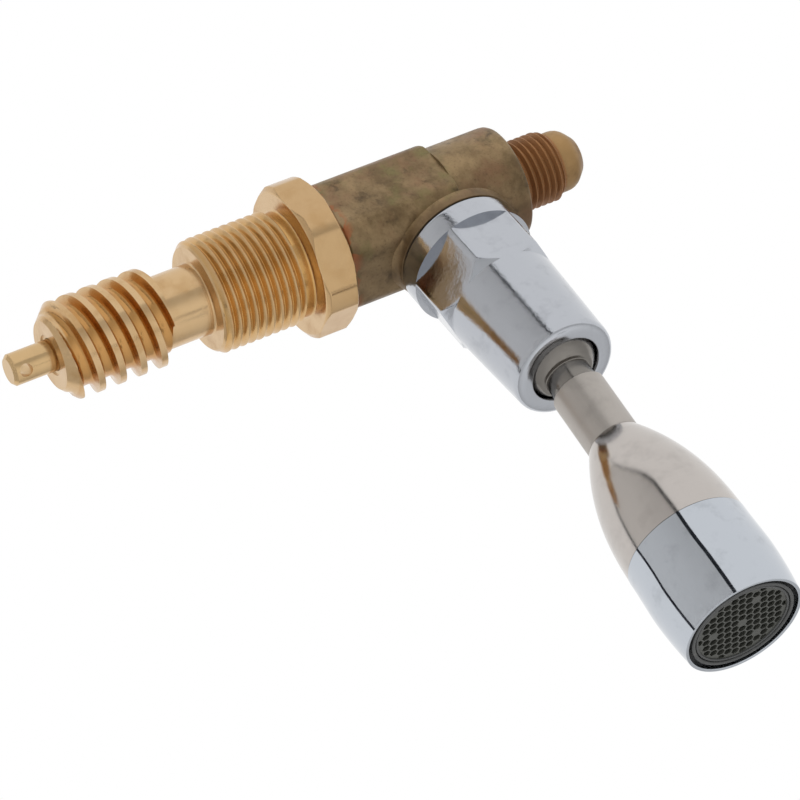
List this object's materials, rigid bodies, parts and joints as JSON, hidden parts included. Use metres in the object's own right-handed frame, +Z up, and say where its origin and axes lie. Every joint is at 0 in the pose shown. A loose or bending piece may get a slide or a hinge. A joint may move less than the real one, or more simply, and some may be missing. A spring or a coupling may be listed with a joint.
{
  "type": "hot water tap",
  "caption": "Brass hot-water tap with a knob-thread bonnet, flare inlet, and a ball-jointed steel spout ending in a honeycomb aerator.",
  "frame": {"origin": "on the main axis, at the hexagon face of the bonnet that seats against the machine's panel", "axes": "+Z up, -Y towards the knob end, +Y towards the flare inlet, the branch and spout hang down along -Z"},
  "size_m": [0.0249, 0.0865, 0.0932],
  "materials": {
    "bright_brass": "bright machined brass",
    "aged_brass": "brown oxidised brass",
    "stem_brass": "turned brass",
    "copper": "copper joint ring",
    "black_rubber": "black seal rubber",
    "spring_steel": "stainless steel",
    "chrome": "polished chrome plate",
    "polished_steel": "polished stainless steel",
    "matt_steel": "matt stainless steel",
    "white_plastic": "white seat plastic",
    "grey_plastic": "dark grey moulded plastic"
  },
  "bodies": {
    "root": {"bonnet": "bright_brass", "tee_body": "aged_brass", "copper_washer": "copper", "nut_gasket": "black_rubber", "ball_nut": "chrome", "seat_gasket": "black_rubber"},
    "slider": {"sliding_washer": "spring_steel", "closing_spring": "spring_steel"},
    "stem": {"spindle": "stem_brass", "spindle_seal_front": "black_rubber", "spindle_seal_rear": "black_rubber", "gasket_holder": "stem_brass", "valve_gasket": "black_rubber", "gasket_screw": "spring_steel"},
    "seat": {"ball_seat": "white_plastic"},
    "spout": {"spout_ball": "polished_steel", "spout_sleeve": "matt_steel", "spout_bell": "polished_steel", "aerator_seal": "black_rubber", "aerator_ring": "chrome", "aerator_cartridge": "grey_plastic", "honeycomb_grid": "grey_plastic", "rubber_ring": "black_rubber"}
  },
  "joints": [
    {"name": "valve_lift", "type": "slide", "parent": "root", "child": "slider", "axis": [0, -1, 0], "range_m": [0, 0.003], "stiffness_N_per_m": 2000, "springref_m": -0.004, "deforming": ["closing_spring"]},
    {"name": "spindle_turn", "type": "hinge", "parent": "slider", "child": "stem", "pos_m": [0, 0, 0], "axis": [0, -1, 0], "continuous": true},
    {"name": "spout_swivel", "type": "hinge", "parent": "root", "child": "seat", "pos_m": [0, 0.0211, -0.03226], "axis": [0, 0, 1], "continuous": true},
    {"name": "spout_tilt", "type": "hinge", "parent": "seat", "child": "spout", "pos_m": [0, 0.0211, -0.03226], "axis": [-0.309, 0.9511, 0], "range_deg": [-27.2, 12.8]}
  ]
}
